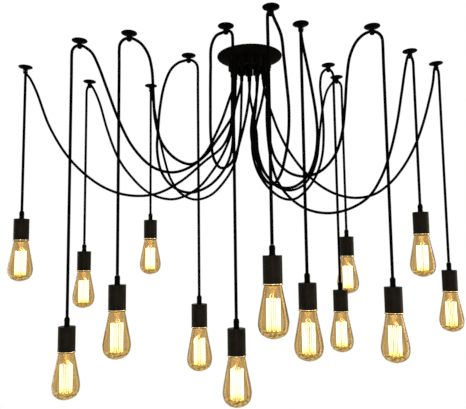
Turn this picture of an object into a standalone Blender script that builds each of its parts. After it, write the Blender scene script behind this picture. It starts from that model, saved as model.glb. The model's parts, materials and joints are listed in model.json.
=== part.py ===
# Spider pendant light: one round canopy, fourteen cords that swag out to their own ceiling hooks,
# and under each hook a lamp holder with a teardrop filament bulb.
# Metres, +Z up. The origin is the centre of the canopy on the ceiling, and the ceiling is z = 0.

import math

import bmesh
import bpy
from mathutils import Vector

# Sizes that more than one piece follows
CLEARANCE = 0.0003      # gap between pieces that touch
CUT_OVERRUN = 0.002     # how far a cutter runs past the material
ROUND_SIDES = 12        # sides of the hooks, holders and bulbs
CANOPY_SIDES = 48
GLAND_SIDES = 8

# Canopy
CANOPY_R = 0.0875
CANOPY_DEPTH = 0.0125
CANOPY_FLOOR_R = 0.060
CANOPY_SHEET = 0.0014
CANOPY_RIM = 0.0022     # height of the upright rim against the ceiling
DISH_BULGE_SHARE = 0.03 # how far the dish swells past a straight slope, of its depth

# Mounting bracket and what it carries
BAR_LENGTH = 0.116
BAR_WIDTH = 0.024
BAR_THICKNESS = 0.002
SLOT_LENGTH = 0.016
SLOT_WIDTH = 0.0045
SLOT_CENTRE = 0.038     # distance of the slots from the middle of the bar
STUD_R = 0.003
STUD_BELOW_FLOOR = 0.006
NUT_R = 0.0075
NUT_HEIGHT = 0.009
NUT_SIDES = 6
NUT_EDGE_SHARE = 0.2
BLOCK_LENGTH = 0.036
BLOCK_WIDTH = 0.018
BLOCK_HEIGHT = 0.008
BLOCK_FROM_STUD = 0.006
BLOCK_EDGE_SHARE = 0.08

# Cord grips of the canopy
GLAND_COUNT = 14
GLAND_RING_R = 0.0485
GLAND_FIRST_DEG = 90
COLLAR_R = 0.0107
COLLAR_HEIGHT = 0.024
GLAND_TIP_R = 0.0055
GLAND_TIP_HEIGHT = 0.0175
GLAND_SINK = 0.0006     # how far a grip reaches into the canopy's floor
COLLAR_STRAIGHT_SHARE = 0.92
TIP_STRAIGHT_SHARE = 0.85
TIP_EDGE_SHARE = 0.8

# Cord
CORD_R = 0.0036
CORD_TURN_DEG = 15      # the tube gets a point whenever it has turned this far
CORD_RUN = 0.060        # and at least one in this length
CORD_BEVEL_STEPS = 2
WAY_STEPS = 24          # steps of the smooth curve between two of its own points
LOOP_R = 0.018          # radius of the cord's bend over a hook
LOOP_STEPS = 7
DROP_SHARES = (0.1, 0.5, 1.0)   # where the straight drop has its points, of its own length

# Ceiling hook
CUP_R = 0.019
CUP_RIM = 0.0015
CUP_DEPTH = 0.0055
NECK_R = 0.0065
NECK_LENGTH = 0.0155
NECK_TIP_SHARE = 0.62   # radius of the rounded end's last ring, of the neck's
NECK_ROUND = 0.003
CROSS_HOLE_R = 0.0049
CROSS_HOLE_DEPTH = 0.0130   # of its axis under the ceiling
CORD_RIDE = 0.0006      # how far the cord's middle lies above the hole's axis inside the neck

# Lamp holder, from its top down
GRIP_TOP_R = 0.0050
GRIP_R = 0.0065
GRIP_WAIST_R = 0.0063
GRIP_TAPER = 0.004
GRIP_BARREL = 0.008
GRIP_WAIST = 0.009
COVER_R = 0.020
COVER_HEIGHT = 0.060
COVER_WALL = 0.0015
LIP_HEIGHT = 0.003
LIP_STEP = 0.0007
MOUTH_DEPTH = 0.013
SOCKET_DEPTH = 0.026
SOCKET_GAP = 0.00045    # between the bulb's screw base and the socket

# Bulb
BASE_R = 0.0132
BASE_WALL = 0.0012
CONTACT_R = 0.0045
CONE_HEIGHT = 0.0055
BULB_R = 0.032
BULB_BELOW_HOLDER = 0.108
GLASS_WALL = 0.0012
PUMP_HOLE_R = 0.002     # the bulb's inside is open through the contact
# The flare under the holder: how far down, and how wide, as shares of the bulb's visible height and radius
FLARE_SHARES = ((0.0, 0.56), (0.22, 0.71), (0.44, 0.86), (0.60, 0.96), (0.71, 1.0), (0.78, 0.97),
                (0.84, 0.92), (0.89, 0.82), (0.93, 0.69), (0.96, 0.52), (0.985, 0.28))
INSIDE_SHARES = ((0.98, 0.29), (0.925, 0.66), (0.84, 0.90), (0.71, 1.0), (0.44, 0.86), (0.0, 0.56))

# Spread of the hooks. Each hook has its place as shares of the reaches, its lamp's drop as a share of the
# longest drop, the side of the hook that the cord comes down on, its bend as a share of LOOP_R, and how far
# round the bend the swag joins it.
REACH_X = 0.630
REACH_Y = 0.280
LONGEST_DROP = 0.680
HOOK_SHARES = (
    # x, y, drop, side in degrees, bend, swag's angle in degrees
    (-1.00, 0.19, 0.603, -66, 1.0, -25),
    (-0.675, -0.425, 0.994, 180, 1.05, -25),
    (-0.77, 0.645, 0.733, 135, 1.0, -35),
    (-0.467, -0.565, 0.850, 180, 1.3, -25),
    (-0.483, 0.81, 0.594, 101, 1.0, -55),
    (-0.26, -0.055, 0.938, 0, 1.35, -25),
    (-0.097, -0.68, 0.991, -32, 1.0, -25),
    (0.06, -1.00, 0.757, -120, 1.0, -50),
    (0.18, -0.70, 0.847, -100, 1.0, -55),
    (0.36, 0.243, 0.903, 32, 1.0, -25),
    (0.43, 0.605, 0.684, 28, 1.0, -35),
    (0.452, -0.635, 0.867, 0, 1.3, -25),
    (0.677, -0.093, 0.602, 46, 1.0, -55),
    (0.846, 0.236, 0.829, 48, 1.0, -55),
)
# Which grip of the canopy each cord leaves from, counted round the ring
GLAND_OF_CORD = (3, 5, 2, 6, 1, 4, 7, 8, 9, 13, 0, 10, 11, 12)
# The way of each cord's swag, in metres, from under its grip to below its hook
SWAGS = (
    ((-0.049, 0.014, -0.110), (-0.053, 0.020, -0.188), (-0.075, 0.024, -0.240), (-0.125, 0.028, -0.281),
     (-0.190, 0.033, -0.334), (-0.255, 0.038, -0.366), (-0.312, 0.041, -0.372), (-0.370, 0.045, -0.361),
     (-0.430, 0.049, -0.330), (-0.501, 0.055, -0.265), (-0.560, 0.061, -0.174), (-0.604, 0.068, -0.066),
     (-0.624, 0.070, -0.027)),
    ((-0.044, -0.034, -0.095), (-0.056, -0.040, -0.130), (-0.072, -0.046, -0.178), (-0.092, -0.052, -0.226),
     (-0.118, -0.058, -0.276), (-0.152, -0.063, -0.309), (-0.200, -0.069, -0.326), (-0.250, -0.076, -0.313),
     (-0.298, -0.084, -0.264), (-0.332, -0.093, -0.197), (-0.359, -0.103, -0.122), (-0.381, -0.112, -0.060),
     (-0.396, -0.117, -0.030)),
    ((-0.041, 0.040, -0.120), (-0.050, 0.055, -0.188), (-0.071, 0.066, -0.244), (-0.106, 0.077, -0.300),
     (-0.150, 0.087, -0.348), (-0.218, 0.099, -0.376), (-0.288, 0.110, -0.357), (-0.348, 0.121, -0.301),
     (-0.386, 0.131, -0.245), (-0.420, 0.144, -0.162), (-0.447, 0.157, -0.077), (-0.466, 0.166, -0.034)),
    ((-0.024, -0.048, -0.090), (-0.036, -0.057, -0.138), (-0.049, -0.065, -0.183), (-0.067, -0.072, -0.215),
     (-0.089, -0.079, -0.248), (-0.117, -0.087, -0.287), (-0.152, -0.093, -0.310), (-0.190, -0.101, -0.297),
     (-0.222, -0.109, -0.260), (-0.237, -0.119, -0.205), (-0.240, -0.131, -0.145), (-0.242, -0.143, -0.085),
     (-0.250, -0.150, -0.050), (-0.266, -0.156, -0.026)),
    ((-0.023, 0.053, -0.120), (-0.028, 0.066, -0.200), (-0.043, 0.083, -0.276), (-0.073, 0.099, -0.326),
     (-0.115, 0.113, -0.365), (-0.160, 0.125, -0.375), (-0.202, 0.136, -0.355), (-0.232, 0.148, -0.312),
     (-0.252, 0.161, -0.252), (-0.273, 0.180, -0.163), (-0.288, 0.196, -0.085), (-0.297, 0.207, -0.040)),
    ((-0.048, -0.011, -0.140), (-0.047, -0.012, -0.215), (-0.056, -0.015, -0.278), (-0.083, -0.020, -0.328),
     (-0.119, -0.025, -0.360), (-0.162, -0.027, -0.373), (-0.204, -0.027, -0.358), (-0.234, -0.025, -0.320),
     (-0.247, -0.022, -0.262), (-0.245, -0.019, -0.201), (-0.240, -0.017, -0.141), (-0.229, -0.015, -0.081),
     (-0.211, -0.015, -0.038), (-0.191, -0.015, -0.020)),
    ((-0.005, -0.060, -0.130), (-0.015, -0.073, -0.190), (-0.028, -0.085, -0.243), (-0.043, -0.094, -0.292),
     (-0.060, -0.102, -0.317), (-0.079, -0.110, -0.323), (-0.094, -0.118, -0.304), (-0.101, -0.128, -0.255),
     (-0.101, -0.144, -0.172),
     (-0.099, -0.161, -0.092), (-0.096, -0.175, -0.042), (-0.084, -0.182, -0.020)),
    ((0.014, -0.055, -0.130), (0.002, -0.075, -0.190), (-0.002, -0.092, -0.240), (0.009, -0.112, -0.303),
     (0.025, -0.125, -0.351), (0.045, -0.135, -0.369), (0.062, -0.143, -0.350), (0.074, -0.158, -0.308),
     (0.081, -0.176, -0.258), (0.081, -0.197, -0.200), (0.075, -0.216, -0.148), (0.068, -0.236, -0.096),
     (0.061, -0.254, -0.052)),
    ((0.036, -0.035, -0.100), (0.026, -0.045, -0.150), (0.012, -0.056, -0.203), (0.007, -0.064, -0.250),
     (0.016, -0.073, -0.300), (0.040, -0.084, -0.346), (0.070, -0.095, -0.371), (0.100, -0.103, -0.371),
     (0.129, -0.110, -0.350), (0.148, -0.118, -0.312), (0.156, -0.127, -0.262), (0.153, -0.140, -0.208),
     (0.143, -0.154, -0.150), (0.130, -0.169, -0.090), (0.120, -0.179, -0.046)),
    ((0.017, 0.045, -0.130), (0.007, 0.046, -0.200), (0.006, 0.047, -0.255), (0.020, 0.047, -0.309),
     (0.050, 0.048, -0.355), (0.087, 0.048, -0.383), (0.120, 0.049, -0.385), (0.151, 0.050, -0.362),
     (0.181, 0.051, -0.320), (0.199, 0.052, -0.265), (0.205, 0.053, -0.200), (0.203, 0.054, -0.120),
     (0.200, 0.056, -0.060), (0.207, 0.059, -0.027)),
    ((0.001, 0.052, -0.090), (0.010, 0.060, -0.142), (0.019, 0.067, -0.195), (0.023, 0.075, -0.250),
     (0.040, 0.083, -0.302), (0.072, 0.092, -0.342), (0.111, 0.101, -0.355), (0.149, 0.107, -0.342),
     (0.177, 0.112, -0.308),
     (0.195, 0.118, -0.262), (0.205, 0.128, -0.200), (0.214, 0.138, -0.142), (0.225, 0.148, -0.088),
     (0.239, 0.155, -0.045)),
    ((0.046, -0.016, -0.105), (0.043, -0.028, -0.165), (0.046, -0.042, -0.230), (0.062, -0.056, -0.295),
     (0.094, -0.068, -0.331), (0.132, -0.078, -0.342), (0.170, -0.089, -0.330), (0.202, -0.100, -0.295),
     (0.219, -0.112, -0.245), (0.225, -0.128, -0.185), (0.228, -0.147, -0.115), (0.234, -0.160, -0.066),
     (0.247, -0.170, -0.036), (0.262, -0.176, -0.021)),
    ((0.046, 0.009, -0.110), (0.044, 0.006, -0.165), (0.046, 0.003, -0.225), (0.053, 0.001, -0.285),
     (0.069, -0.002, -0.342),
     (0.100, -0.006, -0.387), (0.145, -0.009, -0.419), (0.200, -0.013, -0.430), (0.255, -0.017, -0.419),
     (0.304, -0.020, -0.389), (0.337, -0.024, -0.340), (0.362, -0.028, -0.275), (0.382, -0.032, -0.198),
     (0.397, -0.036, -0.115), (0.408, -0.038, -0.052)),
    ((0.045, 0.032, -0.100), (0.060, 0.034, -0.148), (0.080, 0.035, -0.204), (0.107, 0.036, -0.257),
     (0.143, 0.037, -0.307), (0.187, 0.039, -0.349), (0.237, 0.041, -0.376), (0.288, 0.042, -0.385),
     (0.338, 0.044, -0.375), (0.384, 0.046, -0.343), (0.425, 0.047, -0.294), (0.459, 0.049, -0.235),
     (0.483, 0.050, -0.175), (0.502, 0.052, -0.115), (0.516, 0.053, -0.062)),
)


# Blender scene helpers

def clear_scene():
    for item in list(bpy.data.objects):
        bpy.data.objects.remove(item, do_unlink=True)


def new_collection(name):
    made = bpy.data.collections.new(name)
    bpy.context.scene.collection.children.link(made)
    return made


def new_material(name, colour, roughness, metallic=0.0):
    made = bpy.data.materials.new(name)
    made.use_nodes = True
    shader = made.node_tree.nodes["Principled BSDF"]
    shader.inputs["Base Color"].default_value = (*colour, 1.0)
    shader.inputs["Roughness"].default_value = roughness
    shader.inputs["Metallic"].default_value = metallic
    return made


def into(collection, item):
    for old in list(item.users_collection):
        old.objects.unlink(item)
    collection.objects.link(item)
    return item


def as_cutter(item):
    item.hide_render = True
    item.display_type = "WIRE"
    return into(cutters, item)


def smooth(item):
    item.data.shade_smooth()
    item.data.set_sharp_from_angle(angle=math.radians(35))


def turned(name, profile, sides, collection, material=None):
    """A turned shape. The profile is (radius, height) pairs, down the outer side from top to bottom."""
    mesh = bpy.data.meshes.new(name)
    work = bmesh.new()
    points = [work.verts.new((radius, 0, height)) for radius, height in profile]
    for first, second in zip(points, points[1:]):
        work.edges.new((first, second))
    work.to_mesh(mesh)
    work.free()
    item = bpy.data.objects.new(name, mesh)
    collection.objects.link(item)
    screw = item.modifiers.new("Turn", "SCREW")
    screw.angle = math.tau
    screw.steps = screw.render_steps = sides
    screw.use_merge_vertices = True
    screw.merge_threshold = CLEARANCE / 10
    screw.use_smooth_shade = True
    if material:
        item.data.materials.append(material)
    return item


def evaluated_mesh(item, name):
    bpy.context.view_layer.update()
    mesh = bpy.data.meshes.new_from_object(item.evaluated_get(bpy.context.evaluated_depsgraph_get()))
    mesh.name = name
    return mesh


def mesh_piece(name, mesh, collection, place=(0, 0, 0), turn=0.0, parent=None):
    item = bpy.data.objects.new(name, mesh)
    collection.objects.link(item)
    item.location = place
    item.rotation_euler = (0, 0, turn)
    item.parent = parent
    return item


def drum(name, radius, height, sides, top, collection, place=(0, 0)):
    bpy.ops.mesh.primitive_cylinder_add(vertices=sides, radius=radius, depth=height,
                                        location=(*place, top - height / 2))
    item = bpy.context.active_object
    item.name = name
    return into(collection, item)


def box(name, size, middle, collection):
    bpy.ops.mesh.primitive_cube_add(size=1, location=middle)
    item = bpy.context.active_object
    item.name = name
    item.scale = size
    bpy.ops.object.transform_apply(location=False, rotation=False, scale=True)
    return into(collection, item)


def boolean(item, other, operation):
    step = item.modifiers.new(operation.title(), "BOOLEAN")
    step.operation = operation
    step.solver = "EXACT"
    step.object = other
    return step


# Places that several pieces share

def gland_place(number):
    angle = math.radians(GLAND_FIRST_DEG) + math.tau * number / GLAND_COUNT
    return Vector((GLAND_RING_R * math.cos(angle), GLAND_RING_R * math.sin(angle), 0))


def gland_bottom():
    return -CANOPY_DEPTH - COLLAR_HEIGHT - GLAND_TIP_HEIGHT


def hook_place(shares):
    return Vector((REACH_X * shares[0], REACH_Y * shares[1], 0))


def side_of(shares):
    """The level direction from the hook to where its cord comes down."""
    angle = math.radians(shares[3])
    return Vector((math.cos(angle), math.sin(angle), 0))


def bend_radius(shares):
    return LOOP_R * shares[4]


def swing_pivot(shares):
    """Where the straight drop starts, right over its lamp."""
    low = -CROSS_HOLE_DEPTH + CORD_RIDE - bend_radius(shares)
    return hook_place(shares) + side_of(shares) * bend_radius(shares) + Vector((0, 0, low))


def lamp_top(shares):
    """The top of the lamp's cord grip."""
    pivot = swing_pivot(shares)
    return Vector((pivot.x, pivot.y, -LONGEST_DROP * shares[2]))


# The cord's way

def loop_points(shares):
    """The bend over the hook, through the cross hole, from the swag's side to the drop's."""
    middle = swing_pivot(shares) - side_of(shares) * bend_radius(shares)
    first, last = math.radians(shares[5]), math.pi / 2
    points = []
    for step in range(LOOP_STEPS + 1):
        angle = first + (last - first) * step / LOOP_STEPS
        points.append(middle + side_of(shares) * bend_radius(shares) * math.sin(angle)
                      + Vector((0, 0, bend_radius(shares) * math.cos(angle))))
    return points


def own_points(number):
    """The points that a cord's way is chosen by, from its grip to the top of its lamp."""
    shares = HOOK_SHARES[number]
    start = gland_place(GLAND_OF_CORD[number]) + Vector((0, 0, gland_bottom() - CLEARANCE))
    end = lamp_top(shares) + Vector((0, 0, CLEARANCE))
    pivot = swing_pivot(shares)
    straight = start - Vector((0, 0, 2 * CORD_R))
    low = [pivot.lerp(end, share) for share in DROP_SHARES]
    return [start, straight] + [Vector(point) for point in SWAGS[number]] + loop_points(shares) + low


def curve_between(before, first, second, after, share):
    """A point of the smooth curve (centripetal Catmull-Rom) from first to second."""
    points = (before, first, second, after)
    knots = [0.0]
    for one, two in zip(points, points[1:]):
        knots.append(knots[-1] + math.sqrt((two - one).length))
    at = knots[1] + (knots[2] - knots[1]) * share

    def between(one, two, low, high):
        return one.lerp(two, (at - knots[low]) / (knots[high] - knots[low]))

    legs = [between(points[i], points[i + 1], i, i + 1) for i in range(3)]
    pairs = [between(legs[i], legs[i + 1], i, i + 2) for i in range(2)]
    return between(pairs[0], pairs[1], 1, 2)


def smooth_way(chosen, steps):
    """The smooth curve through the chosen points, finely stepped."""
    padded = [chosen[0] * 2 - chosen[1]] + chosen + [chosen[-1] * 2 - chosen[-2]]
    way = [chosen[0]]
    for i in range(len(chosen) - 1):
        for step in range(steps):
            way.append(curve_between(*padded[i:i + 4], (step + 1) / steps))
    return way


def thinned(way):
    """The same way with points about CORD_TURN_DEG of bend apart, so straight runs get few."""
    kept, turned_by, run = [way[0]], 0.0, 0.0
    for before, here, after in zip(way, way[1:], way[2:]):
        turned_by += (here - before).angle(after - here, 0.0)
        run += (here - before).length
        if turned_by > math.radians(CORD_TURN_DEG) or run > CORD_RUN:
            kept.append(here)
            turned_by, run = 0.0, 0.0
    if (way[-1] - kept[-1]).length < 2 * CORD_R:
        kept.pop()
    return kept + [way[-1]]


def cord_way(number):
    points = own_points(number)
    return points[:1] + thinned(smooth_way(points[1:], WAY_STEPS))


def make_cord(number):
    name = f"cord_{number + 1:02d}"
    curve = bpy.data.curves.new(name, "CURVE")
    curve.dimensions = "3D"
    curve.bevel_depth = CORD_R
    curve.bevel_resolution = CORD_BEVEL_STEPS
    curve.use_fill_caps = True
    way = cord_way(number)
    spline = curve.splines.new("POLY")
    spline.points.add(len(way) - 1)
    for point, place in zip(spline.points, way):
        point.co = (*place, 1)
    item = bpy.data.objects.new(name, curve)
    light.objects.link(item)
    curve.materials.append(cord_black)
    length = sum((two - one).length for one, two in zip(way, way[1:]))
    print(f"{name}: {length:.3f} m, {len(way)} points")
    return item


# The pieces

def make_canopy():
    """A turned dish, open at the ceiling, with its ring of cord grips joined on."""
    inner_r, inner_floor_r = CANOPY_R - CANOPY_SHEET, CANOPY_FLOOR_R - CANOPY_SHEET
    half_r = (CANOPY_R + CANOPY_FLOOR_R) / 2
    bulge = (CANOPY_DEPTH - CANOPY_RIM) * DISH_BULGE_SHARE
    half_z = -(CANOPY_DEPTH + CANOPY_RIM) / 2 - bulge
    profile = (
        (CANOPY_R, 0), (CANOPY_R, -CANOPY_RIM), (half_r, half_z), (CANOPY_FLOOR_R, -CANOPY_DEPTH),
        (STUD_R + CLEARANCE, -CANOPY_DEPTH), (STUD_R + CLEARANCE, -CANOPY_DEPTH + CANOPY_SHEET),
        (inner_floor_r, -CANOPY_DEPTH + CANOPY_SHEET), (half_r - CANOPY_SHEET, half_z + CANOPY_SHEET),
        (inner_r, -CANOPY_RIM), (inner_r, 0), (CANOPY_R, 0),
    )
    dish = turned("canopy", profile, CANOPY_SIDES, light, canopy_black)
    collar_top = -CANOPY_DEPTH + GLAND_SINK
    for number in range(GLAND_COUNT):
        place = gland_place(number)
        tip_edge = GLAND_TIP_R * TIP_EDGE_SHARE
        grip = turned(f"gland_{number + 1:02d}_shape", (
            (0, 0), (COLLAR_R, 0), (COLLAR_R, -COLLAR_HEIGHT * COLLAR_STRAIGHT_SHARE - GLAND_SINK),
            (GLAND_TIP_R, -COLLAR_HEIGHT - GLAND_SINK),
            (GLAND_TIP_R, -COLLAR_HEIGHT - GLAND_SINK - GLAND_TIP_HEIGHT * TIP_STRAIGHT_SHARE),
            (tip_edge, -COLLAR_HEIGHT - GLAND_SINK - GLAND_TIP_HEIGHT),
            (0, -COLLAR_HEIGHT - GLAND_SINK - GLAND_TIP_HEIGHT),
        ), GLAND_SIDES, light)
        grip.location = (place.x, place.y, collar_top)
        boolean(dish, as_cutter(grip), "UNION")
    smooth(dish)
    return dish


def make_bracket():
    """The crossbar on the ceiling, with two slots for its screws and the stud that the canopy hangs on."""
    bar = box("mounting_bracket", (BAR_LENGTH, BAR_WIDTH, BAR_THICKNESS), (0, 0, -BAR_THICKNESS / 2), light)
    for side in (-1, 1):
        middle = (side * SLOT_CENTRE, 0, -BAR_THICKNESS / 2)
        slot = box(f"slot_cut_{side + 2}", (SLOT_LENGTH, SLOT_WIDTH, BAR_THICKNESS + 2 * CUT_OVERRUN),
                   middle, light)
        boolean(bar, as_cutter(slot), "DIFFERENCE")
    stud_length = CANOPY_DEPTH + STUD_BELOW_FLOOR - BAR_THICKNESS / 2
    stud = drum("stud_shape", STUD_R, stud_length, ROUND_SIDES, -BAR_THICKNESS / 2, light)
    boolean(bar, as_cutter(stud), "UNION")
    bar.data.materials.append(zinc)
    return bar


def make_cap_nut():
    """The domed nut under the canopy, with a blind hole for the stud."""
    top = -CANOPY_DEPTH - CLEARANCE
    nut = drum("cap_nut", NUT_R, NUT_HEIGHT, NUT_SIDES, top, light)
    hole_depth = STUD_BELOW_FLOOR + CLEARANCE
    hole = drum("nut_hole_cut", STUD_R + CLEARANCE, hole_depth + CUT_OVERRUN, ROUND_SIDES,
                top + CUT_OVERRUN, light)
    edge = nut.modifiers.new("Edge", "BEVEL")
    edge.width = NUT_R * NUT_EDGE_SHARE
    edge.segments = 1
    edge.limit_method = "ANGLE"
    boolean(nut, as_cutter(hole), "DIFFERENCE")
    nut.data.materials.append(canopy_black)
    return nut


def make_terminal_block():
    """The block that joins the cords to the supply, under one arm of the bracket."""
    middle = (BLOCK_FROM_STUD + BLOCK_LENGTH / 2, 0, -BAR_THICKNESS - CLEARANCE - BLOCK_HEIGHT / 2)
    block = box("terminal_block", (BLOCK_LENGTH, BLOCK_WIDTH, BLOCK_HEIGHT), middle, light)
    edge = block.modifiers.new("Edge", "BEVEL")
    edge.width = BLOCK_HEIGHT * BLOCK_EDGE_SHARE
    edge.segments = 1
    block.data.materials.append(block_white)
    return block


def hook_mesh():
    """One ceiling hook: cup, cone, neck with a rounded end, and the cross hole along its own X."""
    neck_end = -CUP_DEPTH - NECK_LENGTH
    shape = turned("hook_shape", (
        (0, 0), (CUP_R, 0), (CUP_R, -CUP_RIM), (NECK_R, -CUP_DEPTH), (NECK_R, neck_end + NECK_ROUND),
        (NECK_R * NECK_TIP_SHARE, neck_end), (0, neck_end),
    ), ROUND_SIDES, light, hook_black)
    bpy.ops.mesh.primitive_cylinder_add(vertices=ROUND_SIDES, radius=CROSS_HOLE_R,
                                        depth=2 * (NECK_R + CUT_OVERRUN),
                                        location=(0, 0, -CROSS_HOLE_DEPTH), rotation=(0, math.pi / 2, 0))
    hole = bpy.context.active_object
    hole.name = "cross_hole_cut"
    boolean(shape, as_cutter(hole), "DIFFERENCE")
    mesh = evaluated_mesh(shape, "ceiling_hook")
    bpy.data.objects.remove(shape, do_unlink=True)
    return mesh


def holder_profile():
    """From the grip's top down the outside, then up the inside of the mouth and socket."""
    cover_top = -GRIP_TAPER - GRIP_BARREL - GRIP_WAIST
    cover_end = cover_top - COVER_HEIGHT
    mouth_r = COVER_R - COVER_WALL
    socket_r = BASE_R + SOCKET_GAP
    mouth_top = cover_end + MOUTH_DEPTH
    socket_top = mouth_top + SOCKET_DEPTH
    return (
        (0, 0), (GRIP_TOP_R, 0), (GRIP_R, -GRIP_TAPER), (GRIP_R, -GRIP_TAPER - GRIP_BARREL),
        (GRIP_WAIST_R, -GRIP_TAPER - GRIP_BARREL), (GRIP_WAIST_R, cover_top),
        (COVER_R, cover_top), (COVER_R, cover_end + LIP_HEIGHT), (COVER_R + LIP_STEP, cover_end + LIP_HEIGHT),
        (COVER_R + LIP_STEP, cover_end), (mouth_r, cover_end), (mouth_r, mouth_top),
        (socket_r, mouth_top), (socket_r, socket_top), (0, socket_top),
    )


def bulb_profile():
    """From the contact down the base and the glass, then up inside the glass to its pump hole."""
    cover_end = -GRIP_TAPER - GRIP_BARREL - GRIP_WAIST - COVER_HEIGHT
    mouth_top = cover_end + MOUTH_DEPTH
    top = mouth_top + SOCKET_DEPTH - CLEARANCE
    glass_r, inside_r = BULB_R, BULB_R - GLASS_WALL
    tall = BULB_BELOW_HOLDER - GLASS_WALL
    outside = [(glass_r * wide, cover_end - BULB_BELOW_HOLDER * down) for down, wide in FLARE_SHARES]
    inside = [(inside_r * wide, cover_end - tall * down) for down, wide in INSIDE_SHARES]
    return (
        [(PUMP_HOLE_R, top), (CONTACT_R, top), (BASE_R, top - CONE_HEIGHT), (BASE_R, mouth_top - CLEARANCE)]
        + outside + [(0, cover_end - BULB_BELOW_HOLDER), (0, cover_end - tall)] + inside
        + [(BASE_R - BASE_WALL, mouth_top - CLEARANCE), (BASE_R - BASE_WALL, top - CONE_HEIGHT),
           (PUMP_HOLE_R, top - BASE_WALL), (PUMP_HOLE_R, top)]
    )


def make_lamps():
    """Each hook with its lamp under it. The lamp's objects hang from an empty on the swing axis."""
    shared_hook = hook_mesh()
    shapes = {}
    for name, profile, material in (("lamp_holder", holder_profile(), holder_black),
                                    ("bulb", bulb_profile(), bulb_glass)):
        shape = turned(f"{name}_shape", profile, ROUND_SIDES, light, material)
        shapes[name] = evaluated_mesh(shape, name)
        bpy.data.objects.remove(shape, do_unlink=True)
    for shares_number, shares in enumerate(HOOK_SHARES):
        label = f"{shares_number + 1:02d}"
        pivot, top = swing_pivot(shares), lamp_top(shares)
        mesh_piece(f"ceiling_hook_{label}", shared_hook, light, hook_place(shares), math.radians(shares[3]))
        swing = bpy.data.objects.new(f"swing_pivot_{label}", None)
        swing.empty_display_size = LOOP_R
        swing.location = pivot
        light.objects.link(swing)
        holder = mesh_piece(f"lamp_holder_{label}", shapes["lamp_holder"], light, top - pivot, 0.0, swing)
        mesh_piece(f"bulb_{label}", shapes["bulb"], light, (0, 0, 0), 0.0, holder)


clear_scene()
light = new_collection("spider_pendant_light")
cutters = new_collection("cutters")
canopy_black = new_material("canopy_black_paint", (0.012, 0.012, 0.012), 0.55)
hook_black = new_material("hook_black_paint", (0.014, 0.014, 0.014), 0.55)
holder_black = new_material("holder_black_paint", (0.022, 0.021, 0.019), 0.5)
cord_black = new_material("cord_black", (0.010, 0.010, 0.010), 0.7)
zinc = new_material("zinc_plate", (0.55, 0.55, 0.53), 0.35, 1.0)
block_white = new_material("block_white", (0.8, 0.8, 0.78), 0.5)
bulb_glass = new_material("bulb_amber_glass", (0.75, 0.45, 0.16), 0.08)

make_canopy()
make_bracket()
make_cap_nut()
make_terminal_block()
make_lamps()
for cord_number in range(len(HOOK_SHARES)):
    make_cord(cord_number)
bpy.context.view_layer.update()
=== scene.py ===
# Spider pendant light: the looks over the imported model. Metres, +Z up, the ceiling is z = 0.

import json
import math

import bmesh
import bpy
from mathutils import Matrix, Vector

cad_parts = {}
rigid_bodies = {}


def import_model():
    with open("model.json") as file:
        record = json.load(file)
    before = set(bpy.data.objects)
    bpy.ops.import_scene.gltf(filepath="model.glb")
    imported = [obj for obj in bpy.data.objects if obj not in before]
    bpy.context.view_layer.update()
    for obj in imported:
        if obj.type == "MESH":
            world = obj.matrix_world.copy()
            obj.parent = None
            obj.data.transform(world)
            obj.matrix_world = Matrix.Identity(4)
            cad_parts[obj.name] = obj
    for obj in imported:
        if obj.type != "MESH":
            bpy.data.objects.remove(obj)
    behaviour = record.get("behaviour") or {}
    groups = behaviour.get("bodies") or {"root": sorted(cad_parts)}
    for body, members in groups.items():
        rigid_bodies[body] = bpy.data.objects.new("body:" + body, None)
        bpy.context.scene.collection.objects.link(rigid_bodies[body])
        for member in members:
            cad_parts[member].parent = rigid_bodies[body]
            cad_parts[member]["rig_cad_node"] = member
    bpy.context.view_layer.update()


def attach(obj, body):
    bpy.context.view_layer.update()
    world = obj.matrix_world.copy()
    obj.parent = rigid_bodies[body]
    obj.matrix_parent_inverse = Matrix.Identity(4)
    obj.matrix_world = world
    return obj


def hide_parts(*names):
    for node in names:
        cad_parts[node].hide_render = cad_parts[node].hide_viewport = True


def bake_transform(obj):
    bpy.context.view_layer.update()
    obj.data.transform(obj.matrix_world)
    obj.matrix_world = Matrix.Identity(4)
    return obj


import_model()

# Sizes, the same as the solids have
CLEARANCE = 0.0003
CANOPY_R = 0.0875
CANOPY_DEPTH = 0.0125
CANOPY_FLOOR_R = 0.060
CANOPY_SHEET = 0.0014
CANOPY_RIM = 0.0022
STUD_R = 0.003
NUT_R = 0.0075
NUT_HEIGHT = 0.009
GLAND_COUNT = 14
GLAND_RING_R = 0.0485
GLAND_FIRST_DEG = 90
COLLAR_R = 0.0107
COLLAR_HEIGHT = 0.024
GLAND_TIP_R = 0.0055
GLAND_TIP_HEIGHT = 0.0175
CORD_R = 0.0036
WAY_STEPS = 24
LOOP_R = 0.018
LOOP_STEPS = 7
DROP_SHARES = (0.1, 0.5, 1.0)
CUP_R = 0.019
CUP_RIM = 0.0015
CUP_DEPTH = 0.0055
NECK_R = 0.0065
NECK_LENGTH = 0.0155
CROSS_HOLE_R = 0.0049
CROSS_HOLE_DEPTH = 0.0130
CORD_RIDE = 0.0006
GRIP_TOP_R = 0.0050
GRIP_R = 0.0065
GRIP_WAIST_R = 0.0063
GRIP_TAPER = 0.004
GRIP_BARREL = 0.008
GRIP_WAIST = 0.009
COVER_R = 0.020
COVER_HEIGHT = 0.060
COVER_WALL = 0.0015
LIP_HEIGHT = 0.003
LIP_STEP = 0.0007
MOUTH_DEPTH = 0.013
SOCKET_DEPTH = 0.026
SOCKET_GAP = 0.00045
BASE_R = 0.0132
CONTACT_R = 0.0045
CONE_HEIGHT = 0.0055
BULB_R = 0.032
BULB_BELOW_HOLDER = 0.108
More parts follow.
